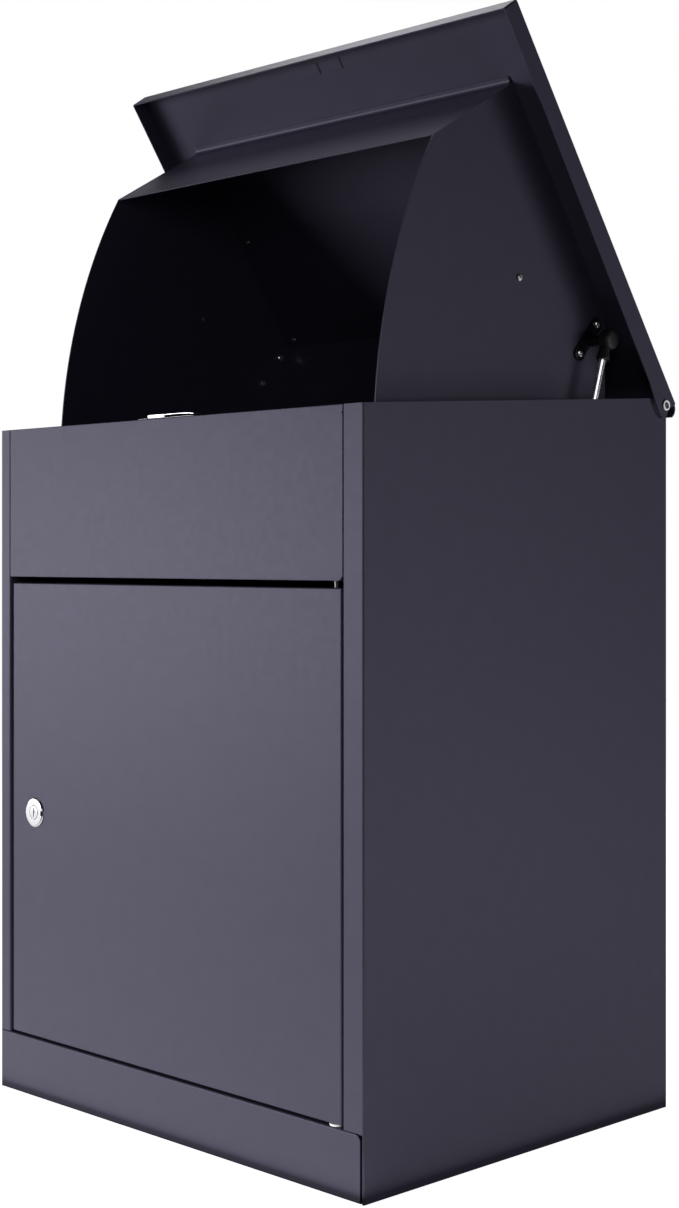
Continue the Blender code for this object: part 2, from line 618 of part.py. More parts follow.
def make_lid_hinges(zinc, nylon):
    """Hollow rivets that the lid turns on, and the washers between lid and cabinet."""
    inside = INNER_HALF - GAP
    outside = LID_HALF + GAP
    inner_end, outer_end = inside - RIVET_HEAD_THICKNESS, outside + RIVET_HEAD_THICKNESS
    hollow_end = outside - RIVET_HOLLOW_DEPTH
    rivet = [(0, inner_end), (RIVET_INNER_HEAD, inner_end), (RIVET_INNER_HEAD, inside), (RIVET_RADIUS, inside),
             (RIVET_RADIUS, outside), (RIVET_HEAD, outside), (RIVET_HEAD, outside + GAP * 2),
             (RIVET_HEAD - RIVET_CHAMFER, outer_end), (RIVET_HOLLOW + RIVET_CHAMFER, outer_end),
             (RIVET_HOLLOW, outside + GAP), (RIVET_HOLLOW, hollow_end), (0, hollow_end)]
    low, high = HALF_WIDTH + GAP, LID_HALF - SHEET - GAP
    bore = RIVET_RADIUS + GAP
    washer = [(bore, low), (LID_WASHER_RADIUS, low), (LID_WASHER_RADIUS, high), (bore, high)]
    for name, side in (("left", -1), ("right", 1)):
        add(f"lid_rivet_{name}", turned(rivet, (0, HINGE_Y, HINGE_Z), (side, 0, 0), 20), zinc)
        add(f"lid_washer_{name}", turned(washer, (0, HINGE_Y, HINGE_Z), (side, 0, 0), 20), nylon)


# Gas struts ---------------------------------------------------------------------------------------------


def stadium(first, second, radius, segments=8):
    """Outline of a strip with round ends about two points."""
    run = second - first
    heading = math.atan2(run.y, run.x)
    quarter = math.pi / 2
    around_second = circle(second, radius, segments, heading - quarter, heading + quarter)
    around_first = circle(first, radius, segments, heading + quarter, heading + 3 * quarter)
    return around_second + around_first


def make_upper_bracket(name, side, lid, zinc, steel):
    """Plate screwed to the chute's side with the upper ball stud standing out of it."""
    low, high = CHUTE_HALF + GAP, CHUTE_HALF + GAP + BRACKET_THICKNESS
    screws = lid_plane(BRACKET_SCREWS)
    outline = stadium(Vector(screws[0]), Vector(screws[1]), BRACKET_RADIUS)
    xs = sorted((side * low, side * high))
    bracket = add(f"strut_bracket_{name}", prism(outline, *xs, "X"), zinc, lid, in_world=False)
    ball = lid_plane([UPPER_BALL])[0]
    join(bracket, ball_stud(side, (0, *ball), low + BRACKET_THICKNESS / 2, STRUT_X), in_world=False)
    screw_base = high + GAP
    inner = CHUTE_HALF - SHEET - GAP
    tail = inner - BRACKET_SCREW_TAIL
    rim = screw_base + BRACKET_SCREW_RIM
    crown = screw_base + BRACKET_SCREW_CROWN
    profile = [(0, tail), (SCREW_HEAD, tail), (SCREW_HEAD, inner), (SCREW_RADIUS, inner),
               (SCREW_RADIUS, screw_base), (SCREW_HEAD, screw_base), (SCREW_HEAD, rim),
               (BRACKET_SCREW_CROWN_RADIUS, crown), (0, crown)]
    for number, (y, z) in enumerate(screws, 1):
        drill(bracket, (side * low, y, z), (1, 0, 0), SCREW_RADIUS + GAP, FLANGE, in_world=False)
        bm = turned(profile, (0, y, z), (side, 0, 0), 12)
        add(f"strut_screw_{name}_{number}", bm, steel, lid, in_world=False)


def ball_stud(side, centre, foot, ball_x):
    """Shank from foot to a ball centred at ball_x, both counted outwards from the middle plane."""
    towards = 1 if ball_x > foot else -1
    neck = math.asin(STUD_RADIUS / BALL_RADIUS)
    steps = 8
    profile = [(0, foot), (STUD_RADIUS, foot)]
    for step in range(steps):
        angle = neck + (math.pi - neck) * step / steps
        profile.append((BALL_RADIUS * math.sin(angle), ball_x - towards * BALL_RADIUS * math.cos(angle)))
    profile.append((0, ball_x + towards * BALL_RADIUS))
    return turned(profile, centre, (side, 0, 0), 16)


def make_end_fitting(name, side, parent, along, towards_wall, plastic):
    """Ball cup with a sleeve: along is the ball's place down the strut, towards_wall the cup's open side."""
    bore = BALL_RADIUS + GAP
    facing = 1 if towards_wall else -1
    back, mouth, floor = STRUT_X - facing * CUP_BACK, STRUT_X + facing * CUP_MOUTH, STRUT_X - facing * bore
    cup = turned(rod_profile(CUP_RADIUS, *sorted((back, mouth))), (0, 0, -along), (side, 0, 0), 20)
    fitting = add(name, cup, plastic, parent, in_world=False)
    downwards = -1 if along == 0 else 1
    heights = sorted((-along + downwards * SLEEVE_START, -along + downwards * SLEEVE_END))
    sleeve = turned(rod_profile(SLEEVE_RADIUS, *heights), (side * STRUT_X, 0, 0), (0, 0, 1), 20)
    join(fitting, sleeve, in_world=False)
    opening = mouth + (mouth - floor)
    cavity = turned(rod_profile(bore, *sorted((floor, opening))), (0, 0, -along), (side, 0, 0), 16)
    cut(fitting, cavity, in_world=False)
    heights = sorted((-along + downwards * SOCKET_FLOOR, -along + downwards * (SLEEVE_END + SHEET)))
    socket = turned(rod_profile(ROD_RADIUS + GAP, *heights), (side * STRUT_X, 0, 0), (0, 0, 1), 16)
    cut(fitting, socket, in_world=False)
    return fitting


def make_strut(name, side, lid, materials):
    """Gas strut from the chute's bracket to the cabinet's side, its rod end up."""
    zinc, steel, plastic, black = materials
    make_upper_bracket(name, side, lid, zinc, steel)
    upper = lid.matrix_basis @ Vector((0, *lid_plane([UPPER_BALL])[0]))
    lower = Vector((0, LOWER_BALL_Y, LOWER_BALL_Z))
    length = (upper - lower).length
    lean = math.atan2(upper.y - lower.y, upper.z - lower.z)
    frame = make_empty(f"strut_axis_{name}", (0, upper.y, upper.z), -lean)
    x = side * STRUT_X
    rod = turned(rod_profile(ROD_RADIUS, -ROD_END, -ROD_START), (x, 0, 0), (0, 0, 1), 20)
    add(f"strut_rod_{name}", rod, steel, frame, in_world=False)
    make_end_fitting(f"strut_socket_{name}", side, frame, 0, False, plastic)
    spigot_end = length - ROD_START
    tube = [(TUBE_BORE, -TUBE_START), (TUBE_RADIUS - TUBE_CHAMFER, -TUBE_START),
            (TUBE_RADIUS, -TUBE_START - TUBE_CHAMFER),
            (TUBE_RADIUS, -TUBE_END), (ROD_RADIUS, -TUBE_END), (ROD_RADIUS, -spigot_end), (0, -spigot_end),
            (0, -TUBE_BORE_END), (TUBE_BORE, -TUBE_BORE_END)]
    add(f"strut_tube_{name}", turned(tube, (x, 0, 0), (0, 0, 1), 20), black, frame, in_world=False)
    make_end_fitting(f"strut_foot_{name}", side, frame, length, True, plastic)
    plate_inner = INNER_HALF - GAP - BRACKET_THICKNESS
    stud = ball_stud(side, (0, 0, -length), plate_inner - GAP, STRUT_X)
    add(f"strut_foot_stud_{name}", stud, zinc, frame, in_world=False)
    ends = [Vector((LOWER_BALL_Y, LOWER_BALL_Z + offset)) for offset in (-MOUNT_HALF_RUN, MOUNT_HALF_RUN)]
    xs = sorted((side * plate_inner, side * (INNER_HALF - GAP)))
    add(f"strut_mount_{name}", prism(stadium(*ends, MOUNT_RADIUS), *xs, "X"), zinc)


def build():
    clear_scene()
    paint = make_material("anthracite_paint", (0.062, 0.058, 0.078), 0.45, 0.0)
    zinc = make_material("zinc_plate", (0.62, 0.62, 0.63), 0.35, 1.0)
    chrome = make_material("bright_chrome", (0.80, 0.80, 0.82), 0.12, 1.0)
    steel = make_material("polished_steel", (0.72, 0.72, 0.74), 0.18, 1.0)
    plastic = make_material("black_plastic", (0.02, 0.02, 0.022), 0.5, 0.0)
    black = make_material("black_tube", (0.02, 0.02, 0.02), 0.35, 0.0)
    rubber = make_material("black_rubber", (0.03, 0.03, 0.03), 0.8, 0.0)
    nylon = make_material("white_nylon", (0.75, 0.75, 0.72), 0.5, 0.0)

    make_side_panel("side_panel_left", -1, LEFT_STRIP, paint)
    make_side_panel("side_panel_right", 1, RIGHT_STRIP, paint)
    make_back_panel(paint)
    make_floor_pan(paint)
    make_upper_front(paint)
    make_catch(zinc, chrome)
    make_door_pins(zinc, nylon)
    make_wall_spacers(rubber)

    door_axis = make_empty("door_axis", (DOOR_AXIS_X, DOOR_AXIS_Y, 0))
    lock_axis = make_empty("lock_axis", (LOCK_X, -HALF_DEPTH, LOCK_Z))
    bpy.context.view_layer.update()
    make_door(door_axis, paint)
    make_lock(door_axis, lock_axis, chrome, zinc)

    lid = make_empty("lid_axis", (0, HINGE_Y, HINGE_Z), -LID_OPEN)
    make_lid_shell(lid, paint)
    make_chute(lid, paint)
    make_lid_fixings(lid, zinc, paint)
    make_lid_hinges(zinc, nylon)
    for name, side in (("left", -1), ("right", 1)):
        make_strut(name, side, lid, (zinc, steel, plastic, black))


build()
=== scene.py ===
"""Looks of the parcel mailbox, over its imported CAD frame: metres, +Z up, front towards -Y."""

import json
import math

import bmesh
import bpy
from mathutils import Matrix, Vector

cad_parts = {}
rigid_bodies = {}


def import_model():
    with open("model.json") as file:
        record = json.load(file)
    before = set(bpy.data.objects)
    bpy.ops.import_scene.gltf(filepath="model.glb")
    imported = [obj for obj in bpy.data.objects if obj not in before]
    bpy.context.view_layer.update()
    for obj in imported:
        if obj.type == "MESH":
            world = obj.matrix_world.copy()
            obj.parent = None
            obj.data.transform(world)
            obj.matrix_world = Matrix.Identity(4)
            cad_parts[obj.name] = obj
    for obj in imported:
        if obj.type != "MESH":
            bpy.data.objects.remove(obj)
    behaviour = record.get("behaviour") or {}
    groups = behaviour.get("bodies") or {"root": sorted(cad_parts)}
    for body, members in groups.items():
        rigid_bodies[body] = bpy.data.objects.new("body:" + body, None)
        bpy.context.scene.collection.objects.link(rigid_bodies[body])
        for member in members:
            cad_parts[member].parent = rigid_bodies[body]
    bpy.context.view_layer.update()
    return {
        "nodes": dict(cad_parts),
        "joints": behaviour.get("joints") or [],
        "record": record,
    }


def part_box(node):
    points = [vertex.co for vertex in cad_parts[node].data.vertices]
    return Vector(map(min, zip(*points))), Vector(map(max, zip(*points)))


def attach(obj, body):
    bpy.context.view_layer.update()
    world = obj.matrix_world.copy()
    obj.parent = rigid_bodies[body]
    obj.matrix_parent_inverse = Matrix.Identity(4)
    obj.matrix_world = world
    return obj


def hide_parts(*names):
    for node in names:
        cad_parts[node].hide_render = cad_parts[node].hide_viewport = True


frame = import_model()
NODES = frame["nodes"]
JOINTS = {joint["name"]: joint for joint in frame["joints"]}

MM = 0.001
SHEET = 1.2 * MM
GAP = 0.3 * MM
BEND = 1.1 * MM
CUT_EDGE = 0.25 * MM
WELD = 1e-6

# Camera at the photograph's viewing angle
CAMERA_PLACE = (1.1772, -1.1395, 0.4497)
CAMERA_YAW = math.radians(45.572)
CAMERA_LENS = 58.63
CAMERA_SHIFT = -0.0398

# The lid's own frame: hinge axis and rest angle
LID_HINGE = Vector(JOINTS["lid_hinge"]["pos_m"])
LID_OPEN = math.radians(55.6)
LID_MATRIX = Matrix.Translation(LID_HINGE) @ Matrix.Rotation(-LID_OPEN, 4, "X")

BODY_OF = {node: body for body, nodes in frame["record"]["behaviour"]["bodies"].items() for node in nodes}
SLOT_OF = {part["node"]: part["material_slot"] for part in frame["record"]["subparts"]}


# Materials ----------------------------------------------------------------------------------------------


class Material:
    """A Principled material and short ways to wire procedural nodes to it, all on object coordinates."""

    def __init__(self, name, roughness=0.5, metallic=0.0, **sockets):
        self.data = bpy.data.materials.new(name)
        self.data.use_nodes = True
        self.tree = self.data.node_tree
        self.shader = self.tree.nodes["Principled BSDF"]
        self.shader.inputs["Roughness"].default_value = roughness
        self.shader.inputs["Metallic"].default_value = metallic
        for socket, value in sockets.items():
            self.shader.inputs[socket.replace("_", " ")].default_value = value
        self.place = self.tree.nodes.new("ShaderNodeTexCoord").outputs["Object"]

    def node(self, kind, **values):
        made = self.tree.nodes.new(f"ShaderNode{kind}")
        for key, value in values.items():
            if key in made.inputs:
                made.inputs[key].default_value = value
            else:
                setattr(made, key, value)
        return made

    def link(self, source, target):
        self.tree.links.new(source, target)

    def noise(self, scale, detail=2.0, stretch=None):
        """Noise with features about 1/scale metres across, stretched along an axis if asked."""
        texture = self.node("TexNoise", Scale=scale, Detail=detail)
        source = self.place
        if stretch:
            mapping = self.node("Mapping", Scale=stretch)
            self.link(source, mapping.inputs["Vector"])
            source = mapping.outputs["Vector"]
        self.link(source, texture.inputs["Vector"])
        return texture.outputs["Fac"]

    def ramp(self, factor, stops):
        """Colour ramp of (position, colour) stops, where a colour is a grey number or three numbers."""
        ramp = self.node("ValToRGB")
        elements = ramp.color_ramp.elements
        while len(elements) < len(stops):
            elements.new(0.5)
        for element, (position, colour) in zip(elements, stops):
            element.position = position
            values = (colour,) * 3 if isinstance(colour, (int, float)) else colour
            element.color = (*values, 1.0)
        self.link(factor, ramp.inputs["Fac"])
        return ramp.outputs["Color"]

    def spread(self, factor, low, high):
        """The factor's middle range mapped to low..high."""
        mapped = self.node("MapRange", **{"From Min": 0.3, "From Max": 0.7, "To Min": low, "To Max": high})
        self.link(factor, mapped.inputs["Value"])
        return mapped.outputs["Result"]

    def colour(self, source):
        self.link(source, self.shader.inputs["Base Color"])

    def roughness(self, source):
        self.link(source, self.shader.inputs["Roughness"])

    def bump(self, height, strength, distance):
        bump = self.node("Bump", Strength=strength, Distance=distance)
        self.link(height, bump.inputs["Height"])
        self.link(bump.outputs["Normal"], self.shader.inputs["Normal"])


# Noise scales, in features per metre
COAT_MOTTLE, COAT_GLOSS, COAT_PEEL = 70, 160, 900
METAL_MARKS, METAL_GLOSS = 700, 175
MOULD_MOTTLE, MOULD_GLOSS, MOULD_GRAIN = 90, 300, 1500


def powder_coat(name, dark, light, metallic, rough):
    """Satin powder coat: faint mottling, fine orange peel and a slight drift in gloss."""
    material = Material(name, metallic=metallic)
    material.colour(material.ramp(material.noise(COAT_MOTTLE, 4), [(0.3, dark), (0.7, light)]))
    material.roughness(material.spread(material.noise(COAT_GLOSS, 3), rough - 0.012, rough + 0.012))
    material.bump(material.noise(COAT_PEEL), 0.10, 0.15 * MM)
    return material.data


def plated(name, dark, light, rough, stretch=None):
    """Bright plated or ground metal with fine marks."""
    material = Material(name, metallic=1.0)
    marks = material.noise(METAL_MARKS, 3, stretch)
    material.colour(material.ramp(marks, [(0.25, dark), (0.75, light)]))
    material.roughness(material.spread(material.noise(METAL_GLOSS, 3), rough * 0.75, rough * 1.3))
    material.bump(marks, 0.06, 0.05 * MM)
    return material.data


def moulded(name, dark, light, rough):
    """Plain moulded plastic or rubber with a fine grain."""
    material = Material(name)
    material.colour(material.ramp(material.noise(MOULD_MOTTLE, 3), [(0.3, dark), (0.7, light)]))
    material.roughness(material.spread(material.noise(MOULD_GLOSS), rough - 0.06, rough + 0.06))
    material.bump(material.noise(MOULD_GRAIN), 0.1, 0.1 * MM)
    return material.data


PAINT = powder_coat("anthracite_powder_coat", (0.1135, 0.1030, 0.1640), (0.1205, 0.1095, 0.1740),
                    metallic=0.40, rough=0.50)
ZINC = plated("zinc_plate", (0.52, 0.52, 0.54), (0.74, 0.74, 0.75), 0.34)
CHROME = plated("bright_chrome", (0.80, 0.80, 0.83), (0.90, 0.90, 0.92), 0.10)
STEEL = plated("polished_steel", (0.72, 0.72, 0.75), (0.86, 0.86, 0.88), 0.26, stretch=(1, 1, 0.05))
PLASTIC = moulded("black_plastic", (0.018, 0.018, 0.020), (0.032, 0.032, 0.036), 0.40)
TUBE = powder_coat("black_tube_lacquer", (0.010, 0.010, 0.011), (0.016, 0.016, 0.018),
                   metallic=0.0, rough=0.30)
RUBBER = moulded("black_rubber", (0.018, 0.018, 0.019), (0.030, 0.030, 0.031), 0.80)
NYLON = moulded("white_nylon", (0.78, 0.78, 0.77), (0.86, 0.86, 0.85), 0.45)
BY_SLOT = {
    "anthracite_paint": PAINT,
    "zinc_plate": ZINC,
    "bright_chrome": CHROME,
    "polished_steel": STEEL,
    "black_plastic": PLASTIC,
    "black_tube": TUBE,
    "black_rubber": RUBBER,
    "white_nylon": NYLON,
}


# Mesh helpers -------------------------------------------------------------------------------------------


def new_object(name, bm, matrix=None):
    if matrix is not None:
        bm.transform(matrix)
    bmesh.ops.recalc_face_normals(bm, faces=bm.faces)
    mesh = bpy.data.meshes.new(name)
    bm.to_mesh(mesh)
    bm.free()
    obj = bpy.data.objects.new(name, mesh)
    bpy.context.scene.collection.objects.link(obj)
    return obj


def soften(obj, width, segments=2, limit=40):
    """Rounds every edge sharper than the limit and keeps the flat faces flat in shading."""
    bevel = obj.modifiers.new("rounded_edges", "BEVEL")
    bevel.width = width
    bevel.segments = segments
    bevel.angle_limit = math.radians(limit)
    bevel.miter_outer = "MITER_ARC"
    flat_shading(obj)


def flat_shading(obj):
    """Lets the largest faces set the shading, so that flats and long sides stay straight."""
    normals = obj.modifiers.new("flat_faces", "WEIGHTED_NORMAL")
    normals.keep_sharp = True


def bake(obj):
    """Leaves the object's finished mesh in place of its modifiers."""
    graph = bpy.context.evaluated_depsgraph_get()
    mesh = bpy.data.meshes.new_from_object(obj.evaluated_get(graph))
    obj.modifiers.clear()
    obj.data = mesh


def piece(node, bm, matrix=None, thickness=None, edge=CUT_EDGE, cutters=(), segments=2):
    """A finished detailed piece that stands for a CAD node, on its body and in its material."""
    obj = new_object(f"{node}_detail", bm, matrix)
    for face in obj.data.polygons:
        face.use_smooth = True
    if thickness:
        solid = obj.modifiers.new("sheet", "SOLIDIFY")
        solid.thickness = thickness
        solid.offset = -1
        solid.use_even_offset = True
        solid.use_quality_normals = True
    helpers = [new_object("cutter", cutter, matrix) for cutter in cutters]
    for helper in helpers:
        hole = obj.modifiers.new("hole", "BOOLEAN")
        hole.operation = "DIFFERENCE"
        hole.solver = "EXACT"
        hole.object = helper
    if edge:
        soften(obj, edge, segments)
    else:
        flat_shading(obj)
    bake(obj)
    for helper in helpers:
        bpy.data.objects.remove(helper)
    obj.data.materials.clear()
    obj.data.materials.append(BY_SLOT[SLOT_OF[node]])
    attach(obj, BODY_OF[node])
    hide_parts(node)
    return obj


def arc(centre, radius, first, last, steps):
    """Points along an arc, its angles in degrees."""
    angles = [math.radians(first + (last - first) * i / steps) for i in range(steps + 1)]
    return [(centre[0] + radius * math.cos(a), centre[1] + radius * math.sin(a)) for a in angles]


def prism(outline, start, end, axis):
    """The outline, in the plane across the axis, drawn out from start to end along it."""
    order = {"X": (2, 0, 1), "Y": (0, 2, 1), "Z": (0, 1, 2)}[axis]
    bm = bmesh.new()
    rings = []
    for along in (start, end):
        places = [(a, b, along) for a, b in outline]
        rings.append([bm.verts.new([place[i] for i in order]) for place in places])
    for ring in rings:
        bm.faces.new(ring)
    for i in range(len(outline)):
        j = (i + 1) % len(outline)
        bm.faces.new((rings[0][i], rings[0][j], rings[1][j], rings[1][i]))
    bmesh.ops.recalc_face_normals(bm, faces=bm.faces)
    return bm


def rectangle(low, high):
    return [(low[0], low[1]), (high[0], low[1]), (high[0], high[1]), (low[0], high[1])]


def block(low, high):
    return prism(rectangle(low, high), low[2], high[2], "Z")


def scaled(profile):
    """A profile given in millimetres, in metres."""
    return [(radius * MM, height * MM) for radius, height in profile]


def turned(profile, place, axis, segments=40):
    """Solid of revolution of a closed (radius, height) profile about an axis through the place."""
    bm = bmesh.new()
    rings = []
    for radius, height in profile:
        if radius == 0:
            rings.append([bm.verts.new((0, 0, height))] * segments)
        else:
            circle = arc((0, 0), radius, 0, 360, segments)[:-1]
            rings.append([bm.verts.new((x, y, height)) for x, y in circle])
    for ring, following in zip(rings, rings[1:] + rings[:1]):
        for i in range(segments):
            j = (i + 1) % segments
            corners = list(dict.fromkeys((ring[i], ring[j], following[j], following[i])))
            if len(corners) > 2:
                bm.faces.new(corners)
    turn = Vector((0, 0, 1)).rotation_difference(Vector(axis)).to_matrix().to_4x4()
    bm.transform(Matrix.Translation(place) @ turn)
    bmesh.ops.recalc_face_normals(bm, faces=bm.faces)
    return bm


def rod(radius, start, end, place, axis, segments):
    return turned([(0, start), (radius, start), (radius, end), (0, end)], place, axis, segments)


def join_mesh(bm, other):
    """Moves the other mesh's geometry into the first as a second closed shell."""
    mesh = bpy.data.meshes.new("shell")
    other.to_mesh(mesh)
    other.free()
    bm.from_mesh(mesh)
    bpy.data.meshes.remove(mesh)


def bend_edges(bm, chosen, radius):
    bmesh.ops.bevel(bm, geom=chosen, offset=radius, segments=5, profile=0.5, affect="EDGES")


def tray(outline, face_y, depth, radius):
    """Folded tray: a face in the plane y = face_y with a wall running back from each of its sides."""
    bm = bmesh.new()
    front = [bm.verts.new((x, face_y, z)) for x, z in outline]
    back = [bm.verts.new((x, face_y + depth, z)) for x, z in outline]
    bm.faces.new(front)
    for i in range(len(outline)):
        j = (i + 1) % len(outline)
        bm.faces.new((front[i], front[j], back[j], back[i]))
    bmesh.ops.recalc_face_normals(bm, faces=bm.faces)
    bm.normal_update()
    middle = sum((vert.co for vert in front + back), Vector()) / (2 * len(outline))
    if sum((face.calc_center_median() - middle).dot(face.normal) for face in bm.faces) < 0:
        bmesh.ops.reverse_faces(bm, faces=bm.faces)
    bend_edges(bm, [edge for edge in bm.edges if len(edge.link_faces) == 2], radius)
    return bm


def folded(points, radius, steps):
    """Closed outline of a sheet whose centre line runs through the points, round at each fold."""
    points = [Vector(point) for point in points]
    path = [points[0]]
    for before, corner, after in zip(points, points[1:], points[2:]):
        back = (before - corner).normalized()
        onward = (after - corner).normalized()
        half = back.angle(onward) / 2
        centre = corner + (back + onward).normalized() * radius / math.sin(half)
        first = corner + back * radius / math.tan(half) - centre
        last = corner + onward * radius / math.tan(half) - centre
        for step in range(steps + 1):
            path.append(centre + first.slerp(last, step / steps) * radius)
    path.append(points[-1])
    runs = [end - start for start, end in zip(path, path[1:])]
    one_side, other_side = [], []
    for point, into, out in zip(path, runs[:1] + runs, runs + runs[-1:]):
        across = Vector((-into.y, into.x)).normalized()
        mitre = (across + Vector((-out.y, out.x)).normalized()).normalized()
        mitre *= (SHEET / 2) / mitre.dot(across)
        one_side.append(point + mitre)
        other_side.append(point - mitre)
    return [tuple(point) for point in one_side + other_side[::-1]]


def lid_plane(points):
    """Points given as (d, n) in the lid's frame, as (y, z) of that frame."""
    return [(-d, n) for d, n in points]


# Door and front -----------------------------------------------------------------------------------------

FACE_Y = -0.175
PIN_X, PIN_Y = JOINTS["door_hinge"]["pos_m"][0], -0.170
PIN_HOLE = 2.05 * MM
PIN_HOLE_REACH = 3 * MM
LOCK_HOLE = 9.3 * MM
LOCK_HOLE_REACH = 20 * MM
UPPER_SHEET = 0.45 * MM
UPPER_BEND = 0.5 * MM
UPPER_CHAMFER = 3.5 * MM
UPPER_WIDENING = 0.22 * MM
RELIEF_HOLE = 0.8 * MM
RELIEF_REACH = 4 * MM
RELIEF_INSET = 0.2 * MM
RELIEF_DROP = 6 * MM
SEAM_CUT = 1.5 * MM
SEAM_CORNER = 4.5 * MM
SEAM_CUTTER = 10 * MM


def pin_hole(z):
    return rod(PIN_HOLE, -PIN_HOLE_REACH, PIN_HOLE_REACH, (PIN_X, PIN_Y, z), (0, 0, 1), 24)


def make_door():
    low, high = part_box("door_panel")
    outline = rectangle((low[0], low[2]), (high[0], high[2]))
    lock = JOINTS["lock_turn"]["pos_m"]
    holes = [rod(LOCK_HOLE, -LOCK_HOLE_REACH, LOCK_HOLE_REACH, lock, (0, 1, 0), 40),
             pin_hole(low[2]), pin_hole(high[2])]
    piece("door_panel", tray(outline, FACE_Y, high[1] - low[1], BEND), thickness=SHEET, cutters=holes)


def make_upper_front():
    """Fixed upper front, with a hairline seam at each side and a relief hole at the right one's top."""
    low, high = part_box("front_panel_upper")
    outline = [(low[0], low[2]), (high[0] - UPPER_CHAMFER, low[2]), (high[0], low[2] + UPPER_CHAMFER),
               (high[0], high[2]), (low[0], high[2])]
    outline = [(x + math.copysign(UPPER_WIDENING, x), z) for x, z in outline]
    relief = (high[0] - RELIEF_INSET, FACE_Y, high[2] - RELIEF_DROP)
    holes = [pin_hole(low[2]), rod(RELIEF_HOLE, -RELIEF_REACH, RELIEF_REACH, relief, (0, 1, 0), 16)]
    panel = tray(outline, FACE_Y, high[1] - low[1], UPPER_BEND)
    piece("front_panel_upper", panel, thickness=UPPER_SHEET, cutters=holes)


def make_floor_pan():
    """The pan with its plinth cut back at the right, where an open seam runs down with a round top corner."""
    node = NODES["floor_pan"]
    bm = bmesh.new()
    bm.from_mesh(node.data)
    bm.transform(node.matrix_world)
    bmesh.ops.remove_doubles(bm, verts=bm.verts, dist=WELD)
    front = [vert.co for vert in bm.verts if vert.co.y < FACE_Y + 0.5 * MM]
    right, top = max(co.x for co in front) - SEAM_CUT, max(co.z for co in front)
    outside = [(right, -SEAM_CUTTER), (right + SEAM_CUTTER, -SEAM_CUTTER), (right + SEAM_CUTTER, top + SEAM_CUTTER),
               (right - SEAM_CORNER, top + SEAM_CUTTER)]
    outline = outside + arc((right - SEAM_CORNER, top - SEAM_CORNER), SEAM_CORNER, 90, 0, 10)
    cutter = prism(outline, FACE_Y - 2 * MM, FACE_Y + 2 * MM, "Y")
    piece("floor_pan", bm, cutters=[cutter], edge=0.3 * MM)


# Lock ---------------------------------------------------------------------------------------------------


def make_lock():
    """Cam lock: a flat head with an index notch at three o'clock, and a plug with its keyway."""
    place = Vector(JOINTS["lock_turn"]["pos_m"])
    front = (0, -1, 0)
    bore = 5.7
    head = [(bore, 1.3), (bore + 0.15, 1.5), (10.6, 1.5), (11.2, 1.42), (11.7, 1.2), (12.05, 0.85), (12.2, 0.4),
            (12.2, 0.3), (9.0, 0.3), (9.0, -19.0), (bore, -19.0)]
    notch = block(place + Vector((9.4, -6, -2.0)) * MM, place + Vector((15, -0.2, 2.0)) * MM)
    piece("lock_housing", turned(scaled(head), place, front, 64), cutters=[notch], edge=0.15 * MM)

    plug = [(0, 1.6), (5.1, 1.6), (5.3, 1.5), (5.4, 1.3), (5.4, -21.0), (0, -21.0)]
    keyway = block(place + Vector((-0.5, -6, -3.6)) * MM, place + Vector((0.5, 4, 3.6)) * MM)
    shoulder = block(place + Vector((0.4, -6, -0.4)) * MM, place + Vector((1.3, 4, 2.2)) * MM)
    piece("lock_plug", turned(scaled(plug), place, front, 48), cutters=[keyway, shoulder], edge=0.1 * MM)


# Catch --------------------------------------------------------------------------------------------------


CATCH_BASE_THICKNESS = 0.55 * MM
CATCH_BLOCK_GAP = 0.05 * MM
CATCH_BLOCK_DROP = 1.2 * MM
CATCH_SPRING_THICKNESS = 0.65 * MM
CATCH_SPRING_STEPS = 28


def make_catch():
    """Thin base strip, keeper block, and a spring strip that sinks to the right and curls down at its end."""
    low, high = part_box("catch_base")
    base_top = low[2] + CATCH_BASE_THICKNESS
    piece("catch_base", block(low, (high[0], high[1], base_top)), edge=0.22 * MM)
    low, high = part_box("catch_block")
    bottom = (low[0], low[1], base_top + CATCH_BLOCK_GAP)
    top = (high[0], high[1], high[2] - CATCH_BLOCK_DROP)
    piece("catch_block", block(bottom, top), edge=0.35 * MM, segments=3)
    low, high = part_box("catch_spring")
    lower, upper = [], []
    for step in range(CATCH_SPRING_STEPS + 1):
        share = step / CATCH_SPRING_STEPS
        x = low[0] + (high[0] - low[0]) * share
        lift = 0.9 - 0.4 * share + 0.3 * math.sin(math.pi * share) - 0.5 * share ** 12
        z = low[2] + lift * MM
        lower.append((x, z))
        upper.append((x, z + CATCH_SPRING_THICKNESS))
    piece("catch_spring", prism(lower + upper[::-1], low[1], high[1], "Y"), edge=0.2 * MM)


def make_door_pins():
    """Headed pins above and below the door, and the washer that it turns on."""
    place = Vector((PIN_X, PIN_Y, 0))
    for node, turn in (("hinge_pin_top", 1), ("hinge_pin_bottom", -1)):
        low, high = (end[2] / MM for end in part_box(node))
        head, tip = (high, low) if turn == 1 else (low, high)
        under = head - turn * 1.3
        shank = [(0, head), (3.1, head), (3.5, head - turn * 0.4), (3.5, under), (1.75, under),
                 (1.75, tip + turn * 0.3), (1.45, tip), (0, tip)]
        piece(node, turned(scaled(shank), place, (0, 0, 1), 32), edge=None)
    low, high = (end[2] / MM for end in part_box("hinge_washer"))
    ring = [(2.05, low), (5.0, low), (5.25, low + 0.25), (5.25, high - 0.25), (5.0, high), (2.05, high)]
    piece("hinge_washer", turned(scaled(ring), place, (0, 0, 1), 40), edge=None)


# Lid ----------------------------------------------------------------------------------------------------

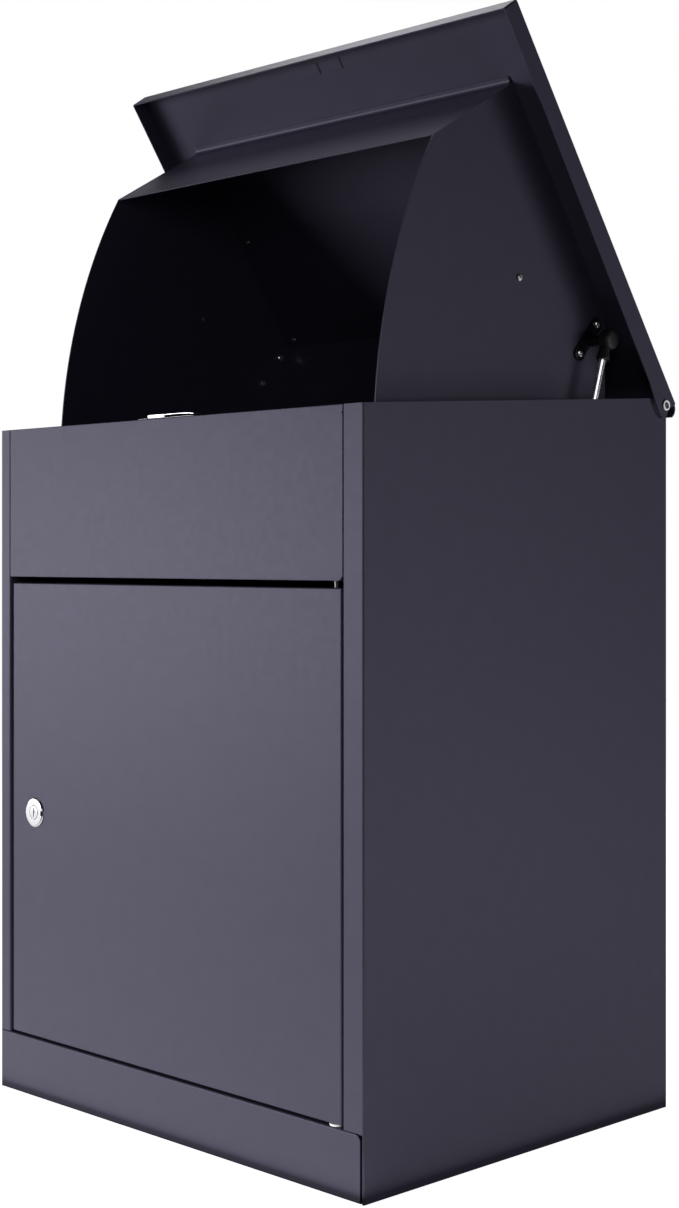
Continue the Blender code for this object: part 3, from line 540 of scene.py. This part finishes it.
LID_HALF = 220.8 * MM
LID_TOP = 13.1 * MM
LID_FRONT = 347.4 * MM
SKIRT_FRONT = -4.2 * MM
SKIRT_REAR = -7.4 * MM
SKIRT_REAR_D = 28 * MM
EAR_RADIUS = 10.5 * MM
EAR_REAR = (15 * MM, 4 * MM)
EAR_REAR_RADIUS = 9.8 * MM
ROLL_RADIUS = 8 * MM
ROLL_START = 6 * MM
ROLL_INSET = 1.7 * MM
LIP_BOTTOM = 4 * MM
LID_BEND = 1.5 * MM
LID_RIVET_HOLE = 3.3 * MM


def make_lid():
    """Top sheet with its front and side skirts, rounded ears and the rolled rear lip."""
    bm = bmesh.new()

    def vert(x, y, n):
        return bm.verts.new((x, y, n))

    inset = LID_HALF - ROLL_INSET
    rear = {side: vert(side * LID_HALF, ROLL_START, LID_TOP) for side in (-1, 1)}
    rear_inner = {side: vert(side * inset, ROLL_START, LID_TOP) for side in (-1, 1)}
    front = {side: vert(side * LID_HALF, -LID_FRONT, LID_TOP) for side in (-1, 1)}
    low_front = {side: vert(side * LID_HALF, -LID_FRONT, SKIRT_FRONT) for side in (-1, 1)}
    bm.faces.new((rear[-1], front[-1], front[1], rear[1], rear_inner[1], rear_inner[-1]))
    bm.faces.new((front[-1], low_front[-1], low_front[1], front[1]))
    ear = arc((0, 0), EAR_RADIUS, -90, -34, 12)
    rear_edge = arc(EAR_REAR, EAR_REAR_RADIUS, 232, 148, 8)
    outline = [(-SKIRT_REAR_D, SKIRT_REAR), *ear, *rear_edge[1:]]
    for side in (-1, 1):
        run = [vert(side * LID_HALF, y, n) for y, n in outline]
        ring = [front[side], low_front[side], *run, rear[side]]
        bm.faces.new(ring if side == 1 else ring[::-1])
    previous = rear_inner
    roll = arc((ROLL_START, LID_TOP - ROLL_RADIUS), ROLL_RADIUS, 90, 0, 10)[1:]
    for y, n in [*roll, (ROLL_START + ROLL_RADIUS, LIP_BOTTOM)]:
        row = {side: vert(side * inset, y, n) for side in (-1, 1)}
        bm.faces.new((previous[-1], previous[1], row[1], row[-1]))
        previous = row
    bmesh.ops.recalc_face_normals(bm, faces=bm.faces)
    bm.normal_update()
    top = max(bm.faces, key=lambda face: face.calc_area())
    if top.normal.z < 0:
        bmesh.ops.reverse_faces(bm, faces=bm.faces)
    corners = [*front.values(), *low_front.values(), *rear.values()]
    bends = [edge for edge in bm.edges
             if len(edge.link_faces) == 2 and all(end in corners for end in edge.verts)
             and edge.calc_face_angle() > 1]
    bend_edges(bm, bends, LID_BEND)
    holes = [rod(LID_RIVET_HOLE, -4 * MM, 4 * MM, (side * LID_HALF, 0, 0), (1, 0, 0), 32) for side in (-1, 1)]
    piece("lid_shell", bm, LID_MATRIX, thickness=SHEET, cutters=holes)


STRIKE_FRONT = 339 * MM
STRIKE_BACK = 329 * MM
STRIKE_THICKNESS = 0.25 * MM


def make_strike_plates():
    """Thin plates under the lid's front edge, where the catch meets it."""
    under = LID_TOP - SHEET - GAP
    for node in ("strike_plate_1", "strike_plate_2"):
        low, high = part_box(node)
        plate = block((low[0], -STRIKE_FRONT, under - STRIKE_THICKNESS), (high[0], -STRIKE_BACK, under))
        piece(node, plate, LID_MATRIX, edge=0.12 * MM)


# Chute --------------------------------------------------------------------------------------------------

CHUTE_HALF = 188 * MM
CEILING = LID_TOP - SHEET - GAP
MOUTH_TOP = Vector((292.8, -92.4)) * MM
FLOOR_FRONT = Vector((151.7, -264.2)) * MM
FLOOR_BACK = Vector((1.3, -44.55)) * MM
MOUTH_ARC = 478 * MM
CHUTE_TOP_D = 285.8 * MM
CHUTE_FLANGE_D = 291.5 * MM
CHUTE_TOP_BEND = 4 * MM
CHUTE_BEND = 1.6 * MM
SCREW_HOLE = 1.8 * MM
SIDE_RIVET = (158.3 * MM, -66.8 * MM)
BRACKET_SCREWS = ((72.9 * MM, -37.6 * MM), (81.1 * MM, -5.3 * MM))
LID_NUTS = [(x, d) for x in (-0.175, 0.175) for d in (0.194, 0.091)]


def mouth_arc(steps):
    """Points of the drum's arc between the mouth's tip and the floor's front."""
    chord = FLOOR_FRONT - MOUTH_TOP
    inwards = Vector((chord.y, -chord.x)).normalized()
    centre = (FLOOR_FRONT + MOUTH_TOP) / 2 + inwards * math.sqrt(MOUTH_ARC ** 2 - (chord.length / 2) ** 2)
    first, last = MOUTH_TOP - centre, FLOOR_FRONT - centre
    return [centre + first.slerp(last, i / steps) * MOUTH_ARC for i in range(1, steps)]


def make_chute():
    run = (FLOOR_FRONT - FLOOR_BACK).normalized()
    up = Vector((-run.y, run.x))
    ceiling = CEILING - SHEET / 2
    wall_foot = FLOOR_BACK + run * SHEET / 2 + up * (SHEET + GAP)
    wall_top = wall_foot + up * (ceiling - wall_foot.y) / up.y
    outline = [(CHUTE_TOP_D, CEILING), MOUTH_TOP, *mouth_arc(40), FLOOR_FRONT, FLOOR_BACK,
               (wall_top.x - SHEET / 2, CEILING)]
    for name, side in (("left", -1), ("right", 1)):
        ends = sorted((side * (CHUTE_HALF - SHEET), side * CHUTE_HALF))
        holes = [rod(SCREW_HOLE, -10 * MM, 10 * MM, (side * CHUTE_HALF, -d, n), (1, 0, 0), 20)
                 for d, n in (*BRACKET_SCREWS, SIDE_RIVET)]
        plate = prism(lid_plane(outline), *ends, "X")
        piece(f"chute_side_{name}", plate, LID_MATRIX, cutters=holes, edge=0.4 * MM)
    half = CHUTE_HALF - SHEET - GAP
    tip = MOUTH_TOP + Vector((-SHEET / 2, 0))
    top = [(CHUTE_FLANGE_D, ceiling), (CHUTE_TOP_D - SHEET / 2, ceiling), tuple(tip)]
    plate = prism(folded(lid_plane(top), CHUTE_TOP_BEND, 12), -half, half, "X")
    piece("chute_top", plate, LID_MATRIX, edge=0.4 * MM)
    back = [(CHUTE_TOP_D - 2 * SHEET - GAP, ceiling), tuple(wall_top), tuple(wall_foot)]
    holes = [rod(SCREW_HOLE, -4 * MM, 4 * MM, (x, -d, ceiling), (0, 0, 1), 20) for x, d in LID_NUTS]
    plate = prism(folded(lid_plane(back), CHUTE_BEND, 6), -half, half, "X")
    piece("chute_back", plate, LID_MATRIX, cutters=holes)
    lift = up * SHEET / 2
    floor = [tuple(FLOOR_BACK + lift), tuple(FLOOR_FRONT + lift)]
    piece("chute_floor", prism(folded(lid_plane(floor), CHUTE_BEND, 6), -half, half, "X"), LID_MATRIX)


# Fixings ------------------------------------------------------------------------------------------------


# Millimetres, as all profiles here are
RECESS_REACH, RECESS_HALF, RECESS_DEPTH = 1.5, 0.32, 1.1
HEAD_EDGE = 0.08 * MM
PLATE_OUTER, PLATE_INNER = 188.3, 186.5
BRACKET_OUTER = 189.8
SCREW_BASE = BRACKET_OUTER + 0.3
RIVET_HEAD, SCREW_HEAD, NUT_HEAD = 1.4, 1.9, 2.2
DOME_STEPS = 6


def cross_recess(place, axis, height):
    """Two crossing slots for a screwdriver, in the face at a height along the axis."""
    turn = Vector((0, 0, 1)).rotation_difference(Vector(axis)).to_matrix().to_4x4()
    cutters = []
    for a, b in ((RECESS_REACH, RECESS_HALF), (RECESS_HALF, RECESS_REACH)):
        bm = block(Vector((-a, -b, height - RECESS_DEPTH)) * MM, Vector((a, b, height + 2)) * MM)
        bm.transform(Matrix.Translation(place) @ turn)
        cutters.append(bm)
    return cutters


def dome(radius, base, height):
    """Profile points of a domed head, from its rim to its crown."""
    return [(radius * math.cos(a), base + height * (0.25 + 0.75 * math.sin(a)))
            for a in (math.pi / 2 * i / DOME_STEPS for i in range(DOME_STEPS))]


def make_fixings():
    """Rivets and bracket screws through the chute's side plates, and the nuts under its ceiling."""
    inner, outer = PLATE_INNER, PLATE_OUTER
    for name, side in (("left", -1), ("right", 1)):
        axis = (side, 0, 0)
        place = Vector((0, -SIDE_RIVET[0], SIDE_RIVET[1]))
        crown = outer + RIVET_HEAD
        profile = [(0, inner - 1.4), (2.2, inner - 1.4), (3, inner - 0.9), (3, inner), (1.5, inner),
                   (1.5, outer), (3, outer), *dome(3, outer, RIVET_HEAD), (0, crown)]
        piece(f"chute_rivet_{name}", turned(scaled(profile), place, axis, 32), LID_MATRIX, edge=HEAD_EDGE,
              cutters=cross_recess(place, axis, crown))
        crown = SCREW_BASE + SCREW_HEAD
        for number, (d, n) in enumerate(BRACKET_SCREWS, 1):
            place = Vector((0, -d, n))
            profile = [(0, inner - 1.6), (2.3, inner - 1.6), (3, inner - 1), (3, inner), (1.5, inner),
                       (1.5, SCREW_BASE), (3, SCREW_BASE), *dome(3, SCREW_BASE, SCREW_HEAD), (0, crown)]
            piece(f"strut_screw_{name}_{number}", turned(scaled(profile), place, axis, 32), LID_MATRIX,
                  edge=HEAD_EDGE, cutters=cross_recess(place, axis, crown))
    ceiling = CEILING - SHEET - GAP
    head = [(radius, -height) for radius, height in dome(3, 0, NUT_HEAD)]
    shape = [(0, 1.2), (1.5, 1.2), (1.5, 0), (3, 0), *head, (0, -NUT_HEAD)]
    for number, (x, d) in enumerate(LID_NUTS, 1):
        nut = turned(scaled(shape), (x, -d, ceiling), (0, 0, 1), 32)
        piece(f"chute_nut_{number}", nut, LID_MATRIX, edge=HEAD_EDGE)


def make_lid_rivets():
    """Hollow rivets with a rolled head, and the washers behind them."""
    place = Vector((0, LID_HINGE.y, LID_HINGE.z))
    outside = LID_HALF / MM + 0.3
    inside = 215.5
    shank = [(0, inside - 1.2), (3.6, inside - 1.2), (4.1, inside - 0.8), (4.1, inside), (3, inside), (3, outside)]
    head = [(4.85, 0), (4.85, 0.45), (4.6, 0.85), (4.2, 1.1), (3.7, 1.2), (3.1, 1.15), (2.6, 0.95), (2.25, 0.6),
            (2.1, 0), (2.05, -3), (0, -3)]
    profile = shank + [(radius, outside + height) for radius, height in head]
    low, high = 217.3, 219.3
    ring = [(3.3, low + 0.2), (3.5, low), (7.2, low), (7.5, low + 0.3), (7.5, high - 0.3), (7.2, high),
            (3.5, high), (3.3, high - 0.2)]
    for name, side in (("left", -1), ("right", 1)):
        piece(f"lid_rivet_{name}", turned(scaled(profile), place, (side, 0, 0), 48), edge=None)
        piece(f"lid_washer_{name}", turned(scaled(ring), place, (side, 0, 0), 48), edge=None)


# Struts -------------------------------------------------------------------------------------------------

STRUT_X = 205.0
UPPER_BALL = (73.5 * MM, -19 * MM)
LOWER_BALL = Vector((0, 38.3 * MM, 388.3 * MM))
BALL = 4.5
BRACKET_END = 5.6 * MM


def stadium(first, second, radius):
    """Outline of a strip with round ends about two points."""
    run = Vector(second) - Vector(first)
    heading = math.degrees(math.atan2(run.y, run.x))
    return arc(second, radius, heading - 90, heading + 90, 12) + arc(first, radius, heading + 90, heading + 270, 12)


def ball_stud(foot, boss, shoulder):
    """Profile in millimetres of a boss, a neck and a ball centred at the strut's line."""
    ball = [(BALL * math.sin(a), STRUT_X - BALL * math.cos(a))
            for a in (math.radians(34 + 146 * i / 10) for i in range(10))]
    return [(0, foot), (boss, foot), (boss, shoulder - 0.5), (boss - 0.5, shoulder), (2.5, shoulder), *ball,
            (0, STRUT_X + BALL)]


def make_bracket(name, side):
    """Upper bracket plate with its ball stud."""
    ends = sorted((side * PLATE_OUTER * MM, side * BRACKET_OUTER * MM))
    bm = prism(stadium(*lid_plane(BRACKET_SCREWS), BRACKET_END), *ends, "X")
    profile = scaled(ball_stud(BRACKET_OUTER + 0.02, 4.4, 197.5))
    join_mesh(bm, turned(profile, (0, -UPPER_BALL[0], UPPER_BALL[1]), (side, 0, 0), 32))
    holes = [rod(SCREW_HOLE, 0.18, 0.20, (0, -d, n), (side, 0, 0), 20) for d, n in BRACKET_SCREWS]
    piece(f"strut_bracket_{name}", bm, LID_MATRIX, cutters=holes)


def make_socket(node, side, matrix, ball_z, facing):
    """Moulded ball socket: a round cup with a domed back and a flared sleeve for the rod or tube."""
    line = Vector((side * STRUT_X * MM, 0, ball_z * MM))
    cup = [(0, 7.0), (4.4, 7.0), (6.2, 6.7), (7.5, 6.0), (8.2, 4.8), (8.3, 3.4), (8.3, -1.6), (7.9, -2.6),
           (7.0, -3.3), (5.2, -3.3), (4.8, -2.9), (4.8, 0.6), (4.4, 2.4), (3.4, 3.9), (1.8, 4.7), (0, 4.8)]
    bm = turned(scaled(cup), line, (side * facing, 0, 0), 48)
    sleeve = [(0, 5.6), (4.3, 5.6), (4.5, 8.5), (4.8, 12.0), (5.3, 14.8), (5.4, 16.3), (5.1, 17.0), (3.3, 17.0),
              (3.3, 9.0), (0, 9.0)]
    join_mesh(bm, turned(scaled(sleeve), line, (0, 0, -facing), 40))
    piece(node, bm, matrix, edge=None)


def make_struts():
    upper = LID_MATRIX @ Vector((0, *lid_plane([UPPER_BALL])[0]))
    length = (upper - LOWER_BALL).length / MM
    lean = math.atan2(upper.y - LOWER_BALL.y, upper.z - LOWER_BALL.z)
    matrix = Matrix.Translation(upper) @ Matrix.Rotation(-lean, 4, "X")
    spigot = length - 9.5
    for name, side in (("left", -1), ("right", 1)):
        line = Vector((side * STRUT_X * MM, 0, 0))
        down = (0, 0, -1)
        make_bracket(name, side)
        make_socket(f"strut_socket_{name}", side, matrix, 0, 1)
        make_socket(f"strut_foot_{name}", side, matrix, -length, -1)
        shaft = [(0, 9.5), (2.7, 9.5), (3.0, 9.8), (3.0, 142.7), (2.7, 143.0), (0, 143.0)]
        piece(f"strut_rod_{name}", turned(scaled(shaft), line, down, 48), matrix, edge=None)
        tube = [(3.5, 98.0), (5.6, 98.0), (6.8, 98.4), (7.4, 99.3), (7.5, 100.4), (7.5, 101.6), (7.0, 102.4),
                (7.0, 103.6), (7.5, 104.4), (7.5, 224.4), (7.1, 225.4), (6.0, 226.0), (3.0, 226.0), (3.0, spigot),
                (0, spigot), (0, 220.0), (3.5, 220.0)]
        piece(f"strut_tube_{name}", turned(scaled(tube), line, down, 48), matrix, edge=None)


# CAD nodes that are shown ---------------------------------------------------------------------------------

ROUNDED_NODES = {
    "side_panel_left": 0.3, "side_panel_right": 0.3, "back_panel": 0.3, "lock_nut": 0.4, "lock_cam": 0.3,
    "strut_mount_left": 0.3, "strut_mount_right": 0.3,
}


def dress_cad_nodes():
    """Gives every carried-over CAD node its slot's material, and rounds the cut edges of the sheet parts."""
    for name, node in NODES.items():
        node.data.materials.clear()
        node.data.materials.append(BY_SLOT[SLOT_OF[name]])
        if name in ROUNDED_NODES:
            weld = node.modifiers.new("weld", "WELD")
            weld.merge_threshold = WELD
            soften(node, ROUNDED_NODES[name] * MM, limit=50)


# Studio -------------------------------------------------------------------------------------------------


# Softboxes: name, place, target, width, height, watts
SOFTBOXES = (
    ("key_front", (-2.2, -2.1, 0.45), (0, 0, 0.3), 1.6, 0.9, 25.5),
    ("overhead", (-0.7, 0.15, 2.3), (0, 0, 0.7), 0.9, 0.9, 3.5),
    ("back_left", (-1.2, 1.2, 1.9), (0, 0, 0.6), 0.9, 0.9, 12),
    ("right", (2.6, 1.2, 0.5), (0, 0, 0.3), 1.6, 0.9, 6.2),
    ("camera_side", (1.9, -1.85, 0.9), (0, 0, 0.35), 0.8, 0.8, 2.4),
    ("floor_front", (-0.15, -0.405, 0.004), (-0.15, -0.405, 3), 1.3, 0.45, 1.4),
    ("floor_side", (0.45, 0.25, 0.004), (0.45, 0.25, 3), 0.45, 1.0, 0.4),
    ("floor_right", (1.3, 0.8, 0.004), (1.3, 0.8, 3), 1.2, 1.2, 4.2),
)
# Reflectors that reach only the pieces in the listed materials
REFLECTORS = (
    (("rod_glint", (1.55, -1.2, 1.72), (0.2, 0.1, 0.55), 1.9, 1.9, 22), (STEEL,)),
    (("rivet_glint", (1.4, 1.8, 0.72), (0.22, 0.17, 0.57), 1.2, 1.0, 5.2), (CHROME, ZINC)),
    (("lock_glint", (-1.65, -1.24, 0.004), (-1.65, -1.24, 3), 1.4, 1.4, 4.8), (CHROME, ZINC)),
    (("washer_glint", (0.2, -1.7, 0.25), (0.19, -0.17, 0.04), 0.6, 0.6, 22), (NYLON,)),
)
AMBIENT_COLOUR = (0.88, 0.88, 1.0, 1)
AMBIENT_STRENGTH = 0.012
WHITE = (1, 1, 1, 1)
FLOOR_RADIUS = 5.0
FLOOR_DROP = 0.4 * MM
FLOOR_GREY_TO_LIGHT, FLOOR_GREY_TO_CAMERA = 0.12, 0.85


def make_camera():
    data = bpy.data.cameras.new("camera")
    data.sensor_fit = "VERTICAL"
    data.sensor_height = 36
    data.lens = CAMERA_LENS
    data.shift_y = CAMERA_SHIFT
    camera = bpy.data.objects.new("camera", data)
    camera.location = CAMERA_PLACE
    camera.rotation_euler = (math.pi / 2, 0, CAMERA_YAW)
    bpy.context.scene.collection.objects.link(camera)
    bpy.context.scene.camera = camera


def softbox(name, place, target, width, height, power):
    data = bpy.data.lights.new(name, "AREA")
    data.shape = "RECTANGLE"
    data.size = width
    data.size_y = height
    data.energy = power
    light = bpy.data.objects.new(name, data)
    light.location = place
    light.rotation_euler = (Vector(target) - Vector(place)).to_track_quat("-Z", "Y").to_euler()
    light.visible_camera = False
    bpy.context.scene.collection.objects.link(light)
    return light


def pale_floor():
    """White to the eye with a soft contact shadow, but dim to the object, like a floor outside the studio lights."""
    pale = Material("pale_floor", roughness=0.9)
    pale.shader.inputs["Emission Color"].default_value = WHITE
    path = pale.node("LightPath")
    stops = [(0.0, FLOOR_GREY_TO_LIGHT), (1.0, FLOOR_GREY_TO_CAMERA)]
    pale.colour(pale.ramp(path.outputs["Is Camera Ray"], stops))
    pale.link(path.outputs["Is Camera Ray"], pale.shader.inputs["Emission Strength"])
    return pale.data


def light_only(light, materials):
    """Keeps a reflector's light to the pieces in these materials."""
    chosen = bpy.data.collections.new(f"lit_by_{light.name}")
    for obj in bpy.context.scene.objects:
        if obj.type == "MESH" and obj.data.materials and obj.data.materials[0] in materials:
            chosen.objects.link(obj)
    light.light_linking.receiver_collection = chosen


def make_world():
    """White behind the object, with a weak bluish light all round it."""
    world = bpy.data.worlds.new("studio")
    world.use_nodes = True
    tree = world.node_tree
    seen = tree.nodes.new("ShaderNodeBackground")
    seen.inputs["Color"].default_value = WHITE
    ambient = tree.nodes["Background"]
    ambient.inputs["Color"].default_value = AMBIENT_COLOUR
    ambient.inputs["Strength"].default_value = AMBIENT_STRENGTH
    path = tree.nodes.new("ShaderNodeLightPath")
    mix = tree.nodes.new("ShaderNodeMixShader")
    tree.links.new(path.outputs["Is Camera Ray"], mix.inputs["Fac"])
    tree.links.new(ambient.outputs["Background"], mix.inputs[1])
    tree.links.new(seen.outputs["Background"], mix.inputs[2])
    tree.links.new(mix.outputs["Shader"], tree.nodes["World Output"].inputs["Surface"])
    bpy.context.scene.world = world


def make_floor():
    bm = bmesh.new()
    bmesh.ops.create_circle(bm, cap_ends=True, segments=96, radius=FLOOR_RADIUS)
    mesh = bpy.data.meshes.new("studio_floor")
    bm.to_mesh(mesh)
    bm.free()
    floor = bpy.data.objects.new("studio_floor", mesh)
    floor.location.z = -FLOOR_DROP
    bpy.context.scene.collection.objects.link(floor)
    mesh.materials.append(pale_floor())


def make_studio():
    make_world()
    make_floor()
    for values in SOFTBOXES:
        softbox(*values)
    for values, materials in REFLECTORS:
        light_only(softbox(*values), materials)
    bpy.context.scene.view_settings.view_transform = "Standard"


make_camera()
dress_cad_nodes()
make_door()
make_upper_front()
make_floor_pan()
make_lock()
make_catch()
make_door_pins()
make_lid()
make_strike_plates()
make_chute()
make_fixings()
make_lid_rivets()
make_struts()
make_studio()
